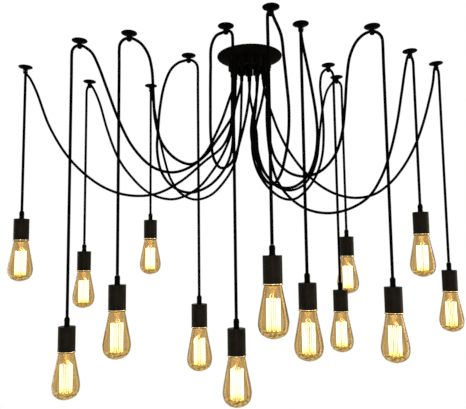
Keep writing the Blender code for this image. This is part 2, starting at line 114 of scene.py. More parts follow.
# The glass's outline: shares of its visible height, downwards, and of its widest radius
FLARE_SHARES = ((0.0, 0.56), (0.22, 0.71), (0.44, 0.86), (0.60, 0.96), (0.71, 1.0), (0.78, 0.97),
                (0.84, 0.92), (0.89, 0.82), (0.93, 0.69), (0.96, 0.52), (0.985, 0.28))

REACH_X = 0.630
REACH_Y = 0.280
LONGEST_DROP = 0.680
# A hook's place, drop, side in degrees where the cord hangs, bend, and angle in degrees where the swag ends
AT_X, AT_Y, AT_DROP, AT_SIDE, AT_BEND, AT_SWAG = range(6)
HOOK_SHARES = (
    (-1.00, 0.19, 0.603, -66, 1.0, -25),
    (-0.675, -0.425, 0.994, 180, 1.05, -25),
    (-0.77, 0.645, 0.733, 135, 1.0, -35),
    (-0.467, -0.565, 0.850, 180, 1.3, -25),
    (-0.483, 0.81, 0.594, 101, 1.0, -55),
    (-0.26, -0.055, 0.938, 0, 1.35, -25),
    (-0.097, -0.68, 0.991, -32, 1.0, -25),
    (0.06, -1.00, 0.757, -120, 1.0, -50),
    (0.18, -0.70, 0.847, -100, 1.0, -55),
    (0.36, 0.243, 0.903, 32, 1.0, -25),
    (0.43, 0.605, 0.684, 28, 1.0, -35),
    (0.452, -0.635, 0.867, 0, 1.3, -25),
    (0.677, -0.093, 0.602, 46, 1.0, -55),
    (0.846, 0.236, 0.829, 48, 1.0, -55),
)
# Which canopy grip each cord leaves from, and the points that its swag passes, in millimetres
GLAND_OF_CORD = (3, 5, 2, 6, 1, 4, 7, 8, 9, 13, 0, 10, 11, 12)
SWAGS_MM = (
    ((-49, 14, -110), (-53, 20, -188), (-75, 24, -240), (-125, 28, -281), (-190, 33, -334),
     (-255, 38, -366), (-312, 41, -372), (-370, 45, -361), (-430, 49, -330), (-501, 55, -265),
     (-560, 61, -174), (-604, 68, -66), (-624, 70, -27)),
    ((-44, -34, -95), (-56, -40, -130), (-72, -46, -178), (-92, -52, -226), (-118, -58, -276),
     (-152, -63, -309), (-200, -69, -326), (-250, -76, -313), (-298, -84, -264), (-332, -93, -197),
     (-359, -103, -122), (-381, -112, -60), (-396, -117, -30)),
    ((-41, 40, -120), (-50, 55, -188), (-71, 66, -244), (-106, 77, -300), (-150, 87, -348),
     (-218, 99, -376), (-288, 110, -357), (-348, 121, -301), (-386, 131, -245), (-420, 144, -162),
     (-447, 157, -77), (-466, 166, -34)),
    ((-24, -48, -90), (-36, -57, -138), (-49, -65, -183), (-67, -72, -215), (-89, -79, -248),
     (-117, -87, -287), (-152, -93, -310), (-190, -101, -297), (-222, -109, -260), (-237, -119, -205),
     (-240, -131, -145), (-242, -143, -85), (-250, -150, -50), (-266, -156, -26)),
    ((-23, 53, -120), (-28, 66, -200), (-43, 83, -276), (-73, 99, -326), (-115, 113, -365),
     (-160, 125, -375), (-202, 136, -355), (-232, 148, -312), (-252, 161, -252), (-273, 180, -163),
     (-288, 196, -85), (-297, 207, -40)),
    ((-48, -11, -140), (-47, -12, -215), (-56, -15, -278), (-83, -20, -328), (-119, -25, -360),
     (-162, -27, -373), (-204, -27, -358), (-234, -25, -320), (-247, -22, -262), (-245, -19, -201),
     (-240, -17, -141), (-229, -15, -81), (-211, -15, -38), (-191, -15, -20)),
    ((-5, -60, -130), (-15, -73, -190), (-28, -85, -243), (-43, -94, -292), (-60, -102, -317),
     (-79, -110, -323), (-94, -118, -304), (-101, -128, -255), (-101, -144, -172), (-99, -161, -92),
     (-96, -175, -42), (-84, -182, -20)),
    ((14, -55, -130), (2, -75, -190), (-2, -92, -240), (9, -112, -303), (25, -125, -351),
     (45, -135, -369), (62, -143, -350), (74, -158, -308), (81, -176, -258), (81, -197, -200),
     (75, -216, -148), (68, -236, -96), (61, -254, -52)),
    ((36, -35, -100), (26, -45, -150), (12, -56, -203), (7, -64, -250), (16, -73, -300),
     (40, -84, -346), (70, -95, -371), (100, -103, -371), (129, -110, -350), (148, -118, -312),
     (156, -127, -262), (153, -140, -208), (143, -154, -150), (130, -169, -90), (120, -179, -46)),
    ((17, 45, -130), (7, 46, -200), (6, 47, -255), (20, 47, -309), (50, 48, -355),
     (87, 48, -383), (120, 49, -385), (151, 50, -362), (181, 51, -320), (199, 52, -265),
     (205, 53, -200), (203, 54, -120), (200, 56, -60), (207, 59, -27)),
    ((1, 52, -90), (10, 60, -142), (19, 67, -195), (23, 75, -250), (40, 83, -302),
     (72, 92, -342), (111, 101, -355), (149, 107, -342), (177, 112, -308), (195, 118, -262),
     (205, 128, -200), (214, 138, -142), (225, 148, -88), (239, 155, -45)),
    ((46, -16, -105), (43, -28, -165), (46, -42, -230), (62, -56, -295), (94, -68, -331),
     (132, -78, -342), (170, -89, -330), (202, -100, -295), (219, -112, -245), (225, -128, -185),
     (228, -147, -115), (234, -160, -66), (247, -170, -36), (262, -176, -21)),
    ((46, 9, -110), (44, 6, -165), (46, 3, -225), (53, 1, -285), (69, -2, -342),
     (100, -6, -387), (145, -9, -419), (200, -13, -430), (255, -17, -419), (304, -20, -389),
     (337, -24, -340), (362, -28, -275), (382, -32, -198), (397, -36, -115), (408, -38, -52)),
    ((45, 32, -100), (60, 34, -148), (80, 35, -204), (107, 36, -257), (143, 37, -307),
     (187, 39, -349), (237, 41, -376), (288, 42, -385), (338, 44, -375), (384, 46, -343),
     (425, 47, -294), (459, 49, -235), (483, 50, -175), (502, 52, -115), (516, 53, -62)),
)

# Sizes that only the looks have
CORD_RING_EVERY = 0.005
CORD_SIDES = 14
GLASS_SHELL = 0.0009
FILAMENT_R = 0.00062
CAGE_R = 0.0135
CAGE_STRANDS = 20
CAGE_TOP_SHARE = 0.25   # of the bulb's visible height
CAGE_END_SHARE = 0.84
THREAD_PITCH = 0.0036
THREAD_DEPTH = 0.0005
RING_TOP_LIFT = 0.0029  # of the bright ring, over the cover's mouth
RING_END_LIFT = 0.0017
STEM_ROD_R = 0.0014
SUPPORT_WIRE_R = 0.00022
UV_PER_METRE = 10       # along a cord
BULB_TURN_DEG = 37      # from one bulb to the next, so that no two cages look the same
LAMP_LIGHT = (1.0, 0.84, 0.46)
# Painted light on the bright ring and the stem's disc: a glow for the filament's light on them
RING_PAINTED_GLOW = 0.42
# Painted light on the stem glass: a glow for the filament's light on it
STEM_PAINTED_GLOW = 0.28
FILAMENT_GLOW = 4.6
GLASS_MIDDLE = (0.74, 0.60, 0.38)
GLASS_IOR = 1.2
FLOOR_Z = -2.4
FLOOR_HALF = 4.5

# The camera, fitted to the photograph
CAMERA_LENS = 39.137
CAMERA_SENSOR = 36.0
CAMERA_PLACE = (-0.0498, -1.3321, -0.5299)
CAMERA_RISE_DEG = 5.45
CAMERA_ROLL_DEG = 0.74

LIGHTS = (
    # name, place, aim, size, power, colour
    ("key", (2.0, -1.9, -0.4), (0.0, 0.0, -0.5), (0.45, 2.4), 14, (1.0, 0.94, 0.82)),
    ("front", (0.0, -2.6, -0.5), (0.0, 0.0, -0.5), (0.5, 1.6), 36, (1.0, 0.95, 0.86)),
    ("rim_right", (2.4, 0.2, -0.6), (0.0, 0.0, -0.6), (0.9, 2.6), 60, (1.0, 0.90, 0.66)),
    ("rim_left", (-2.4, 0.8, -0.6), (0.0, 0.0, -0.6), (0.5, 2.4), 24, (1.0, 0.92, 0.72)),
    ("fill", (-2.3, -1.6, 0.1), (0.0, 0.0, -0.4), (2.2, 2.2), 7, (0.95, 0.97, 1.0)),
    ("back", (0.2, 2.4, 1.3), (0.0, 0.0, -0.4), (2.6, 1.6), 10, (1.0, 1.0, 1.0)),
)

# Heights that follow from the sizes: the canopy's from the ceiling, a lamp's from the end of its cord
GLAND_BOTTOM = -CANOPY_DEPTH - COLLAR_HEIGHT - GLAND_TIP_HEIGHT
COVER_TOP = -GRIP_TAPER - GRIP_BARREL - GRIP_WAIST
COVER_END = COVER_TOP - COVER_HEIGHT
MOUTH_TOP = COVER_END + MOUTH_DEPTH
SOCKET_TOP = MOUTH_TOP + SOCKET_DEPTH
RING_TOP = COVER_END + RING_TOP_LIFT
RING_END = COVER_END + RING_END_LIFT


# Mesh helpers. A shape is (points, faces); several shapes make one mesh, each with its own material.

def lathe(profile, sides, swell=None):
    """A turned shape from (radius, height) pairs.

    A radius of 0 makes a pole, and a profile that ends where it starts makes a closed ring.
    """
    points, rings = [], []
    closed = profile[0] == profile[-1] and profile[0][0] > CLEARANCE
    for radius, height in profile[:-1] if closed else profile:
        if radius < CLEARANCE / 10:
            rings.append([len(points)])
            points.append((0, 0, height))
            continue
        ring = []
        for side in range(sides):
            angle = math.tau * side / sides
            here = radius + (swell(angle, radius, height) if swell else 0)
            ring.append(len(points))
            points.append((here * math.cos(angle), here * math.sin(angle), height))
        rings.append(ring)
    if closed:
        rings.append(rings[0])
    faces = []
    for high, low in zip(rings, rings[1:]):
        if len(high) == 1 and len(low) == 1:
            continue
        for side in range(sides):
            after = (side + 1) % sides
            if len(high) == 1:
                faces.append((high[0], low[side], low[after]))
            elif len(low) == 1:
                faces.append((high[side], low[0], high[after]))
            else:
                faces.append((high[side], low[side], low[after], high[after]))
    return points, faces


def tube(way, radius, sides):
    """A round tube with closed ends along a way of points, and where each ring lies along it."""
    points, faces, along = [], [], []
    heading = (way[1] - way[0]).normalized()
    across = heading.orthogonal().normalized()
    run = 0.0
    for number, here in enumerate(way):
        before, after = way[max(number - 1, 0)], way[min(number + 1, len(way) - 1)]
        new_heading = (after - before).normalized()
        across = (heading.rotation_difference(new_heading) @ across).normalized()
        heading = new_heading
        up = heading.cross(across)
        if number:
            run += (here - before).length
        for side in range(sides):
            angle = math.tau * side / sides
            points.append(tuple(here + (across * math.cos(angle) + up * math.sin(angle)) * radius))
        along.append(run)
    for ring in range(len(way) - 1):
        for side in range(sides):
            after = (side + 1) % sides
            faces.append((ring * sides + side, ring * sides + after,
                          (ring + 1) * sides + after, (ring + 1) * sides + side))
    last = (len(way) - 1) * sides
    faces.append(tuple(reversed(range(sides))))
    faces.append(tuple(last + side for side in range(sides)))
    return (points, faces), along


def mesh_of(name, shapes, sharp_deg=40):
    """One mesh from (shape, material) pairs."""
    mesh = bpy.data.meshes.new(name)
    points, faces, materials, numbers = [], [], [], []
    for shape, finish in shapes:
        if finish not in materials:
            materials.append(finish)
        start = len(points)
        points += shape[0]
        faces += [tuple(start + corner for corner in face) for face in shape[1]]
        numbers += [materials.index(finish)] * len(shape[1])
    mesh.from_pydata(points, [], faces)
    for finish in materials:
        mesh.materials.append(finish)
    mesh.polygons.foreach_set("material_index", numbers)
    work = bmesh.new()
    work.from_mesh(mesh)
    bmesh.ops.recalc_face_normals(work, faces=work.faces)
    work.to_mesh(mesh)
    work.free()
    mesh.shade_smooth()
    mesh.set_sharp_from_angle(angle=math.radians(sharp_deg))
    return mesh


def rounded(corners, steps=4):
    """The profile of (radius, height, rounding) corners, each corner drawn as a small arc."""
    path = []
    for number, (radius, height, rounding) in enumerate(corners):
        here = Vector((radius, height))
        if not rounding or number in (0, len(corners) - 1):
            path.append((radius, height))
            continue
        back = Vector(corners[number - 1][:2]) - here
        on = Vector(corners[number + 1][:2]) - here
        first = here + back.normalized() * min(rounding, back.length * 0.49)
        last = here + on.normalized() * min(rounding, on.length * 0.49)
        for step in range(steps + 1):
            share = step / steps
            point = first * (1 - share) ** 2 + here * 2 * share * (1 - share) + last * share ** 2
            path.append((point.x, point.y))
    return path


def added(name, data):
    """A new object in the scene."""
    item = bpy.data.objects.new(name, data)
    bpy.context.scene.collection.objects.link(item)
    return item


def piece(name, mesh, body, stands_for, place=(0, 0, 0), turn=0.0):
    """A visible piece that rides on a body, in the place of a solid."""
    item = added(name, mesh)
    item.location = place
    item.rotation_euler = (0, 0, turn)
    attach(item, body)
    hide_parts(stands_for)
    return item


# Places and the cords' way, as in the solids

def above(height):
    return Vector((0, 0, height))


def round_about(radius, angle, height=0.0):
    """The point at that radius and angle from the middle."""
    return Vector((radius * math.cos(angle), radius * math.sin(angle), height))


def in_metres(point):
    return Vector([part / 1000 for part in point])


def gland_place(number):
    return round_about(GLAND_RING_R, math.radians(GLAND_FIRST_DEG) + math.tau * number / GLAND_COUNT)


def hook_place(shares):
    return Vector((REACH_X * shares[AT_X], REACH_Y * shares[AT_Y], 0))


def side_of(shares):
    """Which way the cord leaves its hook to hang."""
    return round_about(1, math.radians(shares[AT_SIDE]))


def bend_radius(shares):
    return LOOP_R * shares[AT_BEND]


def swing_pivot(shares):
    """Where the cord starts to hang straight, which is what its lamp swings on."""
    low = -CROSS_HOLE_DEPTH + CORD_RIDE - bend_radius(shares)
    return hook_place(shares) + side_of(shares) * bend_radius(shares) + above(low)


def lamp_top(shares):
    pivot = swing_pivot(shares)
    return Vector((pivot.x, pivot.y, -LONGEST_DROP * shares[AT_DROP]))


def loop_points(shares):
    """The cord's bend over its hook."""
    middle = swing_pivot(shares) - side_of(shares) * bend_radius(shares)
    first, last = math.radians(shares[AT_SWAG]), math.pi / 2
    points = []
    for step in range(LOOP_STEPS + 1):
        angle = first + (last - first) * step / LOOP_STEPS
        points.append(middle + side_of(shares) * bend_radius(shares) * math.sin(angle)
                      + above(bend_radius(shares) * math.cos(angle)))
    return points


def curve_between(before, first, second, after, share):
    """A point between the first and the second, on the smooth curve through all four."""
    points = (before, first, second, after)
    knots = [0.0]
    for one, two in zip(points, points[1:]):
        knots.append(knots[-1] + math.sqrt((two - one).length))
    at = knots[1] + (knots[2] - knots[1]) * share

    def between(one, two, low, high):
        return one.lerp(two, (at - knots[low]) / (knots[high] - knots[low]))

    legs = [between(points[i], points[i + 1], i, i + 1) for i in range(3)]
    pairs = [between(legs[i], legs[i + 1], i, i + 2) for i in range(2)]
    return between(pairs[0], pairs[1], 1, 2)


def smooth_way(chosen, steps):
    """The smooth way through the chosen points, in so many steps from each to the next."""
    padded = [chosen[0] * 2 - chosen[1]] + chosen + [chosen[-1] * 2 - chosen[-2]]
    way = [chosen[0]]
    for i in range(len(chosen) - 1):
        for step in range(steps):
            way.append(curve_between(*padded[i:i + 4], (step + 1) / steps))
    return way


def evenly(way, every):
    """The same way with its points an even distance apart."""
    runs = [0.0]
    for one, two in zip(way, way[1:]):
        runs.append(runs[-1] + (two - one).length)
    count = max(2, round(runs[-1] / every))
    made, at = [way[0]], 0
    for number in range(1, count):
        target = runs[-1] * number / count
        while runs[at + 1] < target:
            at += 1
        made.append(way[at].lerp(way[at + 1], (target - runs[at]) / (runs[at + 1] - runs[at])))
    return made + [way[-1]]


def cord_ways(number):
    """The cord's two stretches: from its canopy grip to the pivot, and from there to its lamp."""
    shares = HOOK_SHARES[number]
    start = gland_place(GLAND_OF_CORD[number]) + above(GLAND_BOTTOM - CLEARANCE)
    end = lamp_top(shares) + above(CLEARANCE)
    pivot = swing_pivot(shares)
    straight = start - above(2 * CORD_R)
    swag = [straight] + [in_metres(point) for point in SWAGS_MM[number]] + loop_points(shares)
    low = [pivot.lerp(end, share) for share in DROP_SHARES]
    way = smooth_way(swag + low, WAY_STEPS)
    split = (len(swag) - 1) * WAY_STEPS
    return evenly([start] + way[:split + 1], CORD_RING_EVERY), evenly(way[split:], CORD_RING_EVERY)


# Materials

def new_material(name):
    """A material, its node tree and its shader."""
    made = bpy.data.materials.new(name)
    made.use_nodes = True
    return made, made.node_tree, made.node_tree.nodes["Principled BSDF"]


def set_inputs(node, values):
    for name, value in values.items():
        node.inputs[name].default_value = value


def new_node(tree, kind, values=None):
    """A new node, with the values of its inputs by their names."""
    node = tree.nodes.new("ShaderNode" + kind)
    set_inputs(node, values or {})
    return node


def joined(tree, *steps):
    """Links socket pairs."""
    for start, end in steps:
        tree.links.new(start, end)


def surface(tree, shader, colour, rough, normal):
    """Gives the shader its colour, roughness and bumps."""
    joined(tree, (colour, shader.inputs["Base Color"]), (rough, shader.inputs["Roughness"]),
           (normal, shader.inputs["Normal"]))


def height_share(tree):
    """How high a point lies in its piece, from 0 to 1."""
    where, split = new_node(tree, "TexCoord"), new_node(tree, "SeparateXYZ")
    joined(tree, (where.outputs["Generated"], split.inputs["Vector"]))
    return split.outputs["Z"]


def noise(tree, scale, detail=4.0, roughness=0.55, stretch=(1, 1, 1), coordinate="Object"):
    where, mapping = new_node(tree, "TexCoord"), new_node(tree, "Mapping", {"Scale": stretch})
    made = new_node(tree, "TexNoise", {"Scale": scale, "Detail": detail, "Roughness": roughness})
    joined(tree, (where.outputs[coordinate], mapping.inputs["Vector"]),
           (mapping.outputs["Vector"], made.inputs["Vector"]))
    return made.outputs["Fac"]


def ramp(tree, value, stops):
    """The value turned into a colour, by (value, colour) stops."""
    made = new_node(tree, "ValToRGB")
    row = made.color_ramp.elements
    while len(row) < len(stops):
        row.new(0.5)
    for element, (place, colour) in zip(row, stops):
        element.position = place
        element.color = (*colour, 1.0)
    joined(tree, (value, made.inputs["Fac"]))
    return made.outputs["Color"]


def spread(tree, value, low, high):
    """The value's middle range mapped to low and high."""
    made = new_node(tree, "MapRange", {"From Min": 0.3, "From Max": 0.7, "To Min": low, "To Max": high})
    joined(tree, (value, made.inputs["Value"]))
    return made.outputs["Result"]


def bump(tree, value, strength, distance, before=None):
    made = new_node(tree, "Bump", {"Strength": strength, "Distance": distance})
    joined(tree, (value, made.inputs["Height"]))
    if before:
        joined(tree, (before, made.inputs["Normal"]))
    return made.outputs["Normal"]


def black_finish(name, colour, rough, gloss, grain, depth, stretch=(1, 1, 1)):
    """A black coat: cloudy colour and shine, fine grain, and faint rub marks."""
    made, tree, shader = new_material(name)
    cloud = noise(tree, 38, detail=5, roughness=0.6)
    marks = noise(tree, 210, detail=6, roughness=0.7, stretch=(1, 1, 0.25))
    fine = noise(tree, grain, detail=3, roughness=0.5, stretch=stretch)
    darker = tuple(part * 0.65 for part in colour)
    lighter = tuple(part * 1.5 for part in colour)
    surface(tree, shader, ramp(tree, cloud, ((0.3, darker), (0.55, colour), (0.8, lighter))),
            spread(tree, marks, rough - 0.07, rough + 0.08), bump(tree, fine, depth, 0.0002))
    set_inputs(shader, {"Specular IOR Level": gloss})
    return made


def cord_finish():
    """A smooth rubber sheath: run marks along it, a fine grain and dull scuffs."""
    made, tree, shader = new_material("cord_sheath")
    runs = noise(tree, 9, detail=3, roughness=0.5, stretch=(4.0, 12.0, 1.0), coordinate="UV")
    grain = noise(tree, 60, detail=4, roughness=0.6, stretch=(1.0, 60.0, 1.0), coordinate="UV")
    first = bump(tree, runs, 0.04, 0.00005)
    colour = ramp(tree, runs, ((0.3, (0.0006, 0.0006, 0.0006)), (0.7, (0.0016, 0.0016, 0.0015))))
    surface(tree, shader, colour, spread(tree, grain, 0.62, 0.78), bump(tree, grain, 0.02, 0.00002, first))
    set_inputs(shader, {"Specular IOR Level": 0.002})
    return made


def metal_finish(name, dark, light, rough, streak=(1, 1, 1), glow=0.0):
    """A metal with clouds and grain. Its glow stands for the filament's light on it."""
    made, tree, shader = new_material(name)
    cloud = noise(tree, 90, detail=5, roughness=0.6, stretch=streak)
    fine = noise(tree, 1400, detail=3, roughness=0.5, stretch=streak)
    surface(tree, shader, ramp(tree, cloud, ((0.3, dark), (0.7, light))),
            spread(tree, fine, rough - 0.08, rough + 0.1), bump(tree, fine, 0.15, 0.0001))
    set_inputs(shader, {"Metallic": 1.0})
    if glow:
        set_inputs(shader, {"Emission Color": (*LAMP_LIGHT, 1.0), "Emission Strength": glow})
    return made


def plastic_finish(name, colour, rough):
    """A moulded plastic, a little darker in clouds and with a fine grain."""
    made, tree, shader = new_material(name)
    cloud = noise(tree, 60, detail=4)
    fine = noise(tree, 1600, detail=3)
    tinted = tuple(part * 0.9 for part in colour)
    surface(tree, shader, ramp(tree, cloud, ((0.3, tinted), (0.7, colour))),
            spread(tree, fine, rough - 0.06, rough + 0.06), bump(tree, fine, 0.12, 0.0001))
    return made


def shifted(tree, value, source, reach):
    """The value, moved up and down by a noise."""
    made = new_node(tree, "Math")
    joined(tree, (value, made.inputs[0]), (spread(tree, source, -reach, reach), made.inputs[1]))
    return made.outputs["Value"]


def glass_finish():
    """Clear amber glass: painted golden reflections and painted dark lines near its outline, painted glints
    over its bottom, faint lines down it.
    """
    made, tree, shader = new_material("bulb_amber_glass")
    edge = new_node(tree, "LayerWeight", {"Blend": 0.35})
    streak = noise(tree, 110, detail=2, roughness=0.5, stretch=(1, 1, 0.06))
    drawn = noise(tree, 42, detail=1, roughness=0.4, stretch=(1, 1, 0.3))
    wave = noise(tree, 45, detail=1, roughness=0.3, stretch=(1, 1, 0.1))
    painted_glints = noise(tree, 105, detail=0, roughness=0.4, stretch=(1, 1, 2.2))
    # Painted reflections and shade: golden and dark lines that follow the outline, moved about by a noise
    sides = ramp(tree, shifted(tree, edge.outputs["Facing"], drawn, 0.06), (
        (0.0, GLASS_MIDDLE), (0.17, GLASS_MIDDLE), (0.25, (0.52, 0.37, 0.16)), (0.31, (1.0, 0.98, 0.72)),
        (0.42, (1.0, 0.84, 0.42)), (0.49, (0.36, 0.21, 0.05)), (0.60, (0.17, 0.085, 0.018))))
    # Painted glints: golden, cream and dark specks over the bottom of the glass
    bottom = ramp(tree, painted_glints, (
        (0.36, (0.26, 0.15, 0.03)), (0.44, (0.84, 0.60, 0.26)), (0.52, (1.0, 0.88, 0.42)),
        (0.60, (1.0, 1.0, 0.74)), (0.68, (0.50, 0.32, 0.08))))
    lines = ramp(tree, streak, (
        (0.36, (0.86, 0.80, 0.76)), (0.5, (0.98, 0.96, 0.93)), (0.62, (1.0, 1.0, 0.96))))
    low_down = ramp(tree, height_share(tree), ((0.10, (0.65, 0.65, 0.65)), (0.19, (0.0, 0.0, 0.0))))
    both, tint = new_node(tree, "Mix"), new_node(tree, "Mix", {"Factor": 1.0})
    both.data_type = tint.data_type = "RGBA"
    tint.blend_type = "MULTIPLY"
    joined(tree, (low_down, both.inputs["Factor"]), (sides, both.inputs["A"]), (bottom, both.inputs["B"]),
           (both.outputs["Result"], tint.inputs["A"]), (lines, tint.inputs["B"]),
           (tint.outputs["Result"], shader.inputs["Base Color"]),
           (bump(tree, wave, 0.03, 0.0008), shader.inputs["Normal"]))
    set_inputs(shader, {"Roughness": 0.0, "Transmission Weight": 1.0, "IOR": GLASS_IOR,
                        "Specular Tint": (0.85, 0.62, 0.22, 1.0)})
    return made


def filament_finish():
    """A burning filament: nearly white along its runs, golden at its turns."""
    made, tree, shader = new_material("filament_glow")
    flicker = noise(tree, 260, detail=3, roughness=0.5)
    glow = ramp(tree, height_share(tree), (
        (0.0, (0.62, 0.48, 0.16)), (0.07, (0.8, 0.68, 0.34)), (0.16, (0.95, 0.95, 0.86)),
        (0.5, (0.92, 0.97, 0.98)), (0.86, (0.95, 0.95, 0.86)), (0.95, (0.85, 0.70, 0.36)),
        (1.0, (0.62, 0.46, 0.16))))
    colour = ramp(tree, flicker, ((0.3, (0.25, 0.14, 0.05)), (0.7, (0.4, 0.25, 0.1))))
    joined(tree, (glow, shader.inputs["Emission Color"]), (colour, shader.inputs["Base Color"]))
    set_inputs(shader, {"Emission Strength": FILAMENT_GLOW})
    return made


def stem_finish():
    """The glass stem, with a painted glow that stands for the filament's light on it."""
    made, tree, shader = new_material("stem_glass")
    cloud = noise(tree, 120, detail=3, roughness=0.5)
    colour = ramp(tree, cloud, ((0.3, (0.88, 0.72, 0.36)), (0.7, (1.0, 0.90, 0.62))))
    # Painted glow, for the filament's light on the stem
    glow = ramp(tree, cloud, ((0.3, (1.0, 0.88, 0.46)), (0.7, (1.0, 0.96, 0.74))))
    joined(tree, (colour, shader.inputs["Base Color"]), (glow, shader.inputs["Emission Color"]),
           (bump(tree, cloud, 0.2, 0.0004), shader.inputs["Normal"]))
    set_inputs(shader, {"Roughness": 0.12, "Transmission Weight": 0.6, "Emission Strength": STEM_PAINTED_GLOW})
    return made


canopy_black = black_finish("canopy_coat", (0.0032, 0.0027, 0.0018), 0.45, 0.001, 900, 0.10)
grip_black = black_finish("grip_plastic", (0.0014, 0.0013, 0.0011), 0.42, 0.006, 1500, 0.06)
hook_black = black_finish("hook_plastic", (0.0014, 0.0014, 0.0012), 0.45, 0.005, 1200, 0.08)
holder_black = black_finish("holder_coat", (0.0090, 0.0074, 0.0052), 0.42, 0.015, 700, 0.02, (1, 1, 0.4))
cord_black = cord_finish()
# The ring's metal has a painted glow for the filament's light on it; the stem's disc uses it too
ring_gold = metal_finish("ring_brass", (0.72, 0.50, 0.18), (0.92, 0.72, 0.34), 0.26, glow=RING_PAINTED_GLOW)
brass = metal_finish("brass_shell", (0.62, 0.42, 0.16), (0.86, 0.64, 0.30), 0.28)
bright_wire = metal_finish("support_wire", (0.55, 0.36, 0.14), (0.85, 0.62, 0.30), 0.25)
zinc = metal_finish("zinc_plate", (0.42, 0.43, 0.43), (0.66, 0.66, 0.63), 0.36, (1, 6, 1))
block_white = plastic_finish("block_plastic", (0.80, 0.79, 0.75), 0.45)
insulator = plastic_finish("contact_insulator", (0.03, 0.028, 0.026), 0.3)
bulb_glass = glass_finish()
filament = filament_finish()
stem_glass = stem_finish()


# The camera, level with the bulbs and looking a little up

def make_camera():
    rise, roll = math.radians(CAMERA_RISE_DEG), math.radians(CAMERA_ROLL_DEG)
    camera = added("camera", bpy.data.cameras.new("camera"))
    camera.data.sensor_fit = "HORIZONTAL"
    camera.data.sensor_width = CAMERA_SENSOR
    camera.data.lens = CAMERA_LENS
    camera.data.clip_start, camera.data.clip_end = 0.05, 60.0
    right, up = Vector((1, 0, 0)), Vector((0, -math.sin(rise), math.cos(rise)))
    ahead = Vector((0, math.cos(rise), math.sin(rise)))
    x_axis = right * math.cos(roll) - up * math.sin(roll)
    y_axis = right * math.sin(roll) + up * math.cos(roll)
    turn = Matrix((x_axis, y_axis, -ahead)).transposed()
    camera.matrix_world = Matrix.Translation(CAMERA_PLACE) @ turn.to_4x4()
    bpy.context.scene.camera = camera


# Cords

def make_cord(number):
    """A cord's two pieces: its swag on the fixture, and its drop, the stretch that turns with its lamp,
    which is left on no body here.
    """
    label = f"{number + 1:02d}"
    for name, way in zip((f"cord_swag_{label}", f"cord_drop_{label}"), cord_ways(number)):
        shape, along = tube(way, CORD_R, CORD_SIDES)
        mesh = mesh_of(name, [(shape, cord_black)])
        layer = mesh.uv_layers.new(name="Length")
        for loop in mesh.loops:
            ring, side = divmod(loop.vertex_index, CORD_SIDES)
            layer.data[loop.index].uv = (along[ring] * UV_PER_METRE, side / CORD_SIDES)
        item = added(name, mesh)
        if name.startswith("cord_swag"):
            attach(item, "ceiling_fixture")
        else:
            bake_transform(item)
        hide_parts(f"cord_{label}")


# Ceiling fixture

def bow(first, last, middle, steps=14):
    """Corners along the bow from the first point to the last, pulled towards the middle one."""
    made = []
    for step in range(1, steps):
        share = step / steps
        made.append(tuple(first[i] * (1 - share) ** 2 + middle[i] * 2 * share * (1 - share)
                          + last[i] * share ** 2 for i in range(2)) + (0,))
    return made


def make_canopy_dish():
    """The dish: rolled rim, hollow flank, flat floor with the stud's hole, and the same again inside."""
    inner_r, inner_floor_r = CANOPY_R - CANOPY_SHEET, CANOPY_FLOOR_R - CANOPY_SHEET
    bow_r, bow_z = (CANOPY_R + CANOPY_FLOOR_R) / 2, -0.0079
    rolled, soft = 0.0012, 0.0014
    rim, floor = (CANOPY_R, -CANOPY_RIM), (CANOPY_FLOOR_R, -CANOPY_DEPTH)
    inner_rim = (inner_r, -CANOPY_RIM)
    inner_floor = (inner_floor_r, -CANOPY_DEPTH + CANOPY_SHEET)
    hole = STUD_R + CLEARANCE
    corners = (
        [(CANOPY_R - CANOPY_SHEET / 2, 0, 0), (CANOPY_R, 0, rolled / 2), (*rim, rolled)]
        + bow(rim, floor, (bow_r, bow_z)) + [(*floor, soft)]
        + [(hole, -CANOPY_DEPTH, 0.0005), (hole, -CANOPY_DEPTH + CANOPY_SHEET, 0.0005)]
        + [(*inner_floor, soft)]
        + bow(inner_floor, inner_rim, (bow_r - CANOPY_SHEET, bow_z + CANOPY_SHEET)) + [(*inner_rim, 0)]
        + [(inner_r, 0, rolled / 2), (CANOPY_R - CANOPY_SHEET / 2, 0, 0)]
    )
    mesh = mesh_of("canopy_dish", [(lathe(rounded(corners), sides=128), canopy_black)])
    piece("canopy_dish", mesh, "ceiling_fixture", "canopy")


